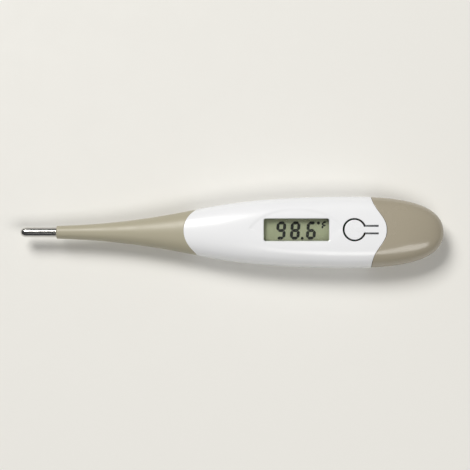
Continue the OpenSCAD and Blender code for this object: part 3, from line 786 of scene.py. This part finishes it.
def neck_length(name, front_x, rear_s, channel=channel_r, front_roll=0.0, rear_roll=0.0):
    """Closed sleeve: outer skin from front_x to rear_s(v), then back through the channel to the start.

    Within a roll of an end the skin is set in by roll * (1 - sqrt(1 - k^2)), with k falling from 1 to 0.
    """
    v = np.linspace(0, 2 * np.pi, neck_cols, endpoint=False)
    front = np.full(v.shape, float(s_at(front_x)))
    rear = rear_s(v)
    rows = max(16, int((float(spine(rear.mean())[0]) - front_x) / (0.3 * MM)))
    s = front + (rear - front) * packed(rows, 0.06, 0.2)[:, None]
    vv = np.broadcast_to(v, s.shape)
    x = body_point(s, vv)[0]
    inset = np.zeros(s.shape)
    for roll, depth in ((front_roll, x - x[:1]), (rear_roll, x[-1:] - x)):
        if roll:
            k = 1 - np.clip(depth / roll, 0, 1)
            inset = np.maximum(inset, roll * (1 - np.sqrt(1 - k * k)))
    outer = np.stack(body_point(s, vv, inset), -1)
    ring = np.stack([np.zeros(v.shape), channel * np.cos(v), axis_z + channel * np.sin(v)], -1)
    inner_x = np.linspace(outer[-1, :, 0].min(), front_x, max(6, rows // 2))[:, None]
    inner = np.repeat(ring[None], len(inner_x), 0)
    inner[..., 0] = inner_x
    points = np.concatenate([outer, inner])
    count = len(points)
    faces = sheet_faces(count, neck_cols, True).tolist()
    j = np.arange(neck_cols)
    k = (j + 1) % neck_cols
    last = (count - 1) * neck_cols
    faces += np.stack([last + j, last + k, k, j], -1).tolist()
    piece = outward(make_mesh(name, points, faces))
    return smooth(piece, 40)


stands_for = [["neck_root"]] + [[f"neck_link_{i}"] for i in range(1, 6)]
stands_for[5] = ["neck_link_5", "neck_link_6"]
for i, centre in enumerate(centres):
    front_x = centre - pitch / 2 if i < 5 else neck_x
    if i:
        back_x = centre + pitch / 2
        rear = (lambda v, x=back_x: np.full(v.shape, float(s_at(x))))
    else:
        rear = (lambda v: meet(bow_line, v, 0.5, 1.5))
    ends = {0: {"rear_roll": edge_roll}, 5: {"front_roll": front_lip, "channel": steel_seat_r}}.get(i, {})
    sleeve = neck_length(f"neck_skin_{i + 1}", front_x, rear, **ends)
    dress(sleeve, None, soft_neck, stands_for[i])
    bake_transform(sleeve)
print("neck lengths:", len(centres), "pitch", round(1000 * pitch, 2), "mm")

# %% [markdown]
# ## The button's tongue
# The button is a flap of the shell: a round pad on a thin arm, free on three sides. Its top is flush with
# the deck. The sheet below is laid out in plan, with rows along the arm and columns across it, and its rim
# is rolled over by the distance to the outline. Fine raised dots give the fingertip a grip.

# %% Tongue
arm_wall = 0.7 * MM
taper_len = 0.8 * MM


def tongue(name, rows=90, cols=23, lip=0.14 * MM):
    """Closed flap, flush with the deck less lip - sqrt(lip^2 - (lip - d)^2).

    The distance to its outline is d. Half the width at a distance a from the pad's centre is the larger of
    the arm's and sqrt(r^2 - a^2).
    """
    a = -pad_r * np.cos(np.linspace(0, np.pi / 2, rows // 2, endpoint=False))
    far_half = np.linspace(0, pad_r, rows // 4, endpoint=False)
    a = np.concatenate([a, far_half, np.linspace(pad_r, arm_len, rows // 4)])
    circle = np.sqrt(np.clip(pad_r ** 2 - a ** 2, 0, None))
    half = np.maximum(circle, np.where(a > 0, arm_half, 0))
    across = np.sin(np.linspace(-np.pi / 2, np.pi / 2, cols))
    y = half[:, None] * across
    aa = np.broadcast_to(a[:, None], y.shape)
    to_circle = pad_r - np.hypot(aa, y)
    to_arm = np.where(aa > 0, arm_half - np.abs(y), -1.0)
    d = np.clip(np.maximum(to_circle, to_arm), 0, lip)
    rolled = lip - np.sqrt(np.clip(lip ** 2 - (lip - d) ** 2, 0, None))
    top = deck_z - deck_drop(aa + button_x, y) - rolled
    on_arm = np.clip((a - pad_r + taper_len) / taper_len, 0, 1)
    thick = arm_wall + (deck_wall - arm_wall) * (1 - on_arm)
    low = np.broadcast_to((deck_z - thick)[:, None], y.shape)
    over = np.stack([aa + button_x, y, top], -1)
    under = np.stack([aa + button_x, y, low], -1)[:, ::-1]
    rings = np.concatenate([over, under], 1)
    count, loop = rings.shape[:2]
    faces = sheet_faces(count, loop, True).tolist()
    faces.append(list(range(loop)))
    faces.append(list(range((count - 1) * loop, count * loop))[::-1])
    return smooth(outward(make_mesh(name, rings, faces)), 35)


flap = tongue("button_tongue")
dress(flap, None, white_shell, ["power_button"])
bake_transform(flap)


# %% Raised dots on the pad
def dots(name, pitch, radius, height, sink=0.06 * MM, cols=12):
    """Low domes on a square lattice inside the pad, each half an ellipse turned about an upright axis."""
    line = pitch * np.arange(-6, 7)
    cx, cy = np.meshgrid(line, line, indexing="ij")
    inside = np.hypot(cx, cy) < pad_r - 0.45 * MM
    cx, cy = cx[inside], cy[inside]
    rise = np.linspace(0, np.pi / 2, 5)
    r = np.concatenate([[0, radius], radius * np.cos(rise)])[:, None]
    z = np.concatenate([[-sink, -sink], height * np.sin(rise)])[:, None]
    v = np.linspace(0, 2 * np.pi, cols, endpoint=False)
    dome = np.stack([r * np.cos(v), r * np.sin(v), np.broadcast_to(z, (len(z), cols))], -1)
    place = np.stack([cx + button_x, cy, deck_z - deck_drop(cx + button_x, cy)], -1)
    first = np.arange(len(place)) * len(z) * cols
    faces = sheet_faces(len(z), cols, True) + first[:, None, None]
    return outward(make_mesh(name, place[:, None, None] + dome, faces.reshape(-1, 4)))


pad_dots = dots("pad_dots", 0.62 * MM, 0.2 * MM, 0.08 * MM)
dress(smooth(pad_dots, 60), "button", white_shell)


# %% Stem under the pad
def turned(name, profile, x, y, cols=48):
    """Solid of revolution about an upright axis at (x, y), from a closed profile of (radius, z) rows."""
    profile = np.asarray(profile, float)
    v = np.linspace(0, 2 * np.pi, cols, endpoint=False)
    r, z = profile[:, :1], profile[:, 1:]
    points = np.stack([x + r * np.cos(v), y + r * np.sin(v), np.broadcast_to(z, (len(profile), cols))], -1)
    return outward(make_mesh(name, points, sheet_faces(len(profile), cols, True)))


stem_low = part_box("power_button")[0][2]
stem_r = 1.0 * MM
stem_top = deck_z - deck_wall
stem = turned("button_stem", [(0, stem_low), (stem_r * 0.8, stem_low), (stem_r, stem_low + 0.2 * MM),
                              (stem_r, stem_top), (0, stem_top)], button_x, 0)
dress(smooth(stem, 35), "button", white_shell)

# %% [markdown]
# ## The steel tip and its wires
# The tip is a drawn tube with a long bullet nose. Its outline is half a superellipse, and the inside
# follows it one wall further in. Two enamelled wires run from the bead in the nose to the board, through
# the neck's channel, and they're cut into lengths at the same places as its skin.

# %% Steel tube
steel_low, steel_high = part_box("steel_tip")
steel_r = (steel_high[2] - steel_low[2]) / 2
drawn_r = steel_r - 0.2 * MM
tube_wall = 0.35 * MM


def bullet(r, x0, length, steps=26):
    """Nose outline as (radius, x) rows: r * (1 - (1 - t)^2.3)^(1/2.3), where t is (x - x0) / length."""
    t = 1 - np.cos(np.linspace(0, np.pi / 2, steps))
    radius = r * (1 - (1 - t) ** 2.3) ** (1 / 2.3)
    return np.stack([radius, x0 + length * t], -1)


nose_len, hollow_nose_len, nose_wall = 2.2 * MM, 1.6 * MM, 0.7 * MM
outside = bullet(steel_r, steel_low[0], nose_len)
inside = bullet(steel_r - tube_wall, steel_low[0] + nose_wall, hollow_nose_len)
step_x = neck_x - 0.1 * MM
step_edge = 0.05 * MM
shoulder = [(steel_r, step_x - step_edge), (steel_r - step_edge, step_x), (drawn_r, step_x),
            (drawn_r, steel_high[0])]
bore = [(drawn_r - tube_wall, steel_high[0]), (drawn_r - tube_wall, step_x),
        (steel_r - tube_wall, step_x - tube_wall)]
tube_profile = np.concatenate([outside, shoulder, bore, inside[::-1]])
tube = turned("steel_tube", tube_profile, 0, 0, 96)
lying = np.array([p.co for p in tube.data.vertices])
tube.data.vertices.foreach_set("co", (lying[:, [2, 1, 0]] + [0, 0, axis_z]).ravel())
outward(tube)
dress(smooth(tube, 35), "probe", steel, ["steel_tip"])


# %% Lead wires
def wire(name, x0, x1, y, radius, cols=14):
    """Round closed wire along X, with a ring of points about every half millimetre."""
    rows = max(3, int((x1 - x0) / (0.5 * MM)))
    x = np.linspace(x0, x1, rows)[:, None]
    v = np.linspace(0, 2 * np.pi, cols, endpoint=False)
    around = np.broadcast_arrays(x, y + radius * np.cos(v), axis_z + radius * np.sin(v))
    points = np.stack(around, -1)
    faces = sheet_faces(rows, cols, True).tolist()
    faces += [list(range(cols)), list(range((rows - 1) * cols, rows * cols))[::-1]]
    return smooth(outward(make_mesh(name, points, faces)), 50)


wire_low, wire_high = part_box("lead_wires")
wire_r = (wire_high[2] - wire_low[2]) / 2
wire_y = wire_high[1] - wire_r
for i, centre in enumerate(centres):
    x0 = centre - pitch / 2 if i < 5 else wire_low[0]
    x1 = centre + pitch / 2 if i else wire_high[0]
    for side in (-1, 1):
        strand = wire(f"wire_{i + 1}_{'right' if side < 0 else 'left'}", x0, x1, side * wire_y, wire_r)
        dress(strand, None, enamel, ["lead_wires"])
        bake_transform(strand)
print("wires of", round(2000 * wire_r, 2), "mm")

# %% [markdown]
# ## The reading on the display
# A liquid crystal digit is seven slanted bars with pointed ends that stay a hair apart. The bars are thin
# flat prisms on the glass. The reading is a plain body temperature with its degree sign and unit, and the
# unit stands small at the upper right.

# %% Seven-segment digits
SEGMENTS = {"9": "abcdfg", "8": "abcdefg", "6": "acdefg", "F": "aefg"}
slant = math.tan(math.radians(5))
ink_low = glass_top + 0.002 * MM
ink_high = glass_top + 0.03 * MM


def bar(length, width):
    """Hexagon of a horizontal bar centred on the origin, pointed at both ends."""
    end, side = length / 2, width / 2
    flat = end - side
    return np.array([(-end, 0), (-flat, side), (flat, side), (end, 0), (flat, -side), (-flat, -side)])


def digit(letter, x, y, wide, tall, width, gap=0.06 * MM):
    """Outlines of a digit's bars, with its lower left corner at (x, y)."""
    h, v = wide - width, tall / 2 - width / 2
    across, upright = bar(h - gap, width), bar(v - gap, width)[:, ::-1]
    place = {"a": (across, wide / 2, tall - width / 2), "g": (across, wide / 2, tall / 2),
             "d": (across, wide / 2, width / 2), "f": (upright, width / 2, tall / 2 + v / 2),
             "b": (upright, wide - width / 2, tall / 2 + v / 2),
             "e": (upright, width / 2, tall / 2 - v / 2),
             "c": (upright, wide - width / 2, tall / 2 - v / 2)}
    found = []
    for segment in SEGMENTS[letter]:
        shape, cx, cy = place[segment]
        points = shape + [cx, cy]
        points[:, 0] += slant * points[:, 1]
        found.append(points + [x, y])
    return found


def disc_outline(x, y, radius, steps=20):
    """Closed outline of a round dot, as a polygon of so many steps."""
    turn = np.linspace(0, 2 * np.pi, steps, endpoint=False)
    return np.stack([x + radius * np.cos(turn), y + radius * np.sin(turn)], -1)


def prisms(name, outlines, low, high):
    """One mesh of upright prisms, each closed at both ends."""
    points, faces = [], []
    for outline in outlines:
        n, first = len(outline), len(points)
        points += [(px, py, low) for px, py in outline] + [(px, py, high) for px, py in outline]
        low_ring = [first + i for i in range(n)]
        high_ring = [first + n + i for i in range(n)]
        faces += [[low_ring[i - 1], low_ring[i], high_ring[i], high_ring[i - 1]] for i in range(n)]
        faces += [high_ring, low_ring[::-1]]
    return outward(make_mesh(name, points, faces), 1e-9)


reading = []
digit_low = -2.95 * MM
big = {"wide": 3.15 * MM, "tall": 5.95 * MM, "width": 1.0 * MM}
for letter, offset in (("9", -6.8 * MM), ("8", -2.2 * MM), ("6", 3.0 * MM)):
    reading += digit(letter, window_x + offset, digit_low, **big)
reading.append(disc_outline(window_x + 1.9 * MM, digit_low + 0.45 * MM, 0.46 * MM))
unit_low = digit_low + 3.25 * MM
reading += digit("F", window_x + 8.1 * MM, unit_low, 1.7 * MM, 2.75 * MM, 0.6 * MM, 0.03 * MM)
reading.append(disc_outline(window_x + 7.2 * MM, unit_low + 2.15 * MM, 0.5 * MM))
digits = prisms("reading", reading, ink_low, ink_high)
dress(digits, "handle", ink)

# %% [markdown]
# ## Floor, light and camera
# The thermometer lies on a wide pale sheet. A soft square lamp hangs high at the far left and throws the
# shadow on the near side. A long lamp on the near right lies along the body and draws the streak on the cap.
# A dim pale sky fills the rest, and it stays dim so that the steel keeps its dark side.

# %% Stage
def backdrop():
    """Square flat sheet of 60 by 60 points, 0.02 mm under the part."""
    side = np.linspace(-1.2, 1.2, 60)
    x, y = np.meshgrid(side, side, indexing="ij")
    z = np.full(x.shape, -0.02 * MM)
    return make_mesh("floor", np.stack([x, y, z], -1), sheet_faces(60, 60, False))


floor_finish = finish("floor_paper", (0.83, 0.822, 0.79), (0.85, 0.842, 0.81), (0.78, 0.77, 0.735),
                      (0.6, 0.75), grain=(900, 0.5), ripple=(20, 0.5), bump=0.03, cloud=3, speck_amount=0.03)
floor = backdrop()
floor.data.materials.append(floor_finish)


def lamp(name, place, target, long, wide, power, colour):
    """Rectangular area lamp that faces a target."""
    data = bpy.data.lights.new(name, "AREA")
    data.shape = "RECTANGLE"
    data.size = long
    data.size_y = wide
    data.energy = power
    data.color = colour
    obj = bpy.data.objects.new(name, data)
    bpy.context.scene.collection.objects.link(obj)
    obj.location = place
    aim = np.array(target, float) - np.array(place, float)
    obj.rotation_euler = Vector(aim).to_track_quat("-Z", "Y").to_euler()
    return obj


lamp("key", (-0.48, 0.66, 1.04), (0, 0, 0), 0.58, 0.58, 14.2, (1.0, 0.985, 0.955))
lamp("near", (0.50, -0.50, 0.92), (0.50, 0, 0), 1.1, 0.4, 5.7, (1.0, 0.985, 0.95))
world = bpy.data.worlds.new("sky")
world.use_nodes = True
world.node_tree.nodes["Background"].inputs["Color"].default_value = rgb(0.97, 0.98, 1.0)
world.node_tree.nodes["Background"].inputs["Strength"].default_value = 0.06
bpy.context.scene.world = world
bpy.context.scene.view_settings.view_transform = "Standard"

# %% [markdown]
# ## The camera
# It looks almost straight down, a little from the near side, through a long lens. The lens follows from the
# distance and from the width that it takes in at the thermometer.

# %% Camera
tilt = math.radians(82)
distance = 0.62
view_width = 153.3 * MM
aim = np.array([0.98 * MM, -0.89 * MM, axis_z])
camera_data = bpy.data.cameras.new("camera")
camera_data.sensor_width = 36
camera_data.lens = 36 * distance / view_width
camera = bpy.data.objects.new("camera", camera_data)
bpy.context.scene.collection.objects.link(camera)
camera.location = aim + distance * np.array([0, -math.cos(tilt), math.sin(tilt)])
camera.rotation_euler = (math.pi / 2 - tilt, 0, 0)
bpy.context.scene.camera = camera
print("lens", round(camera_data.lens, 1), "mm")
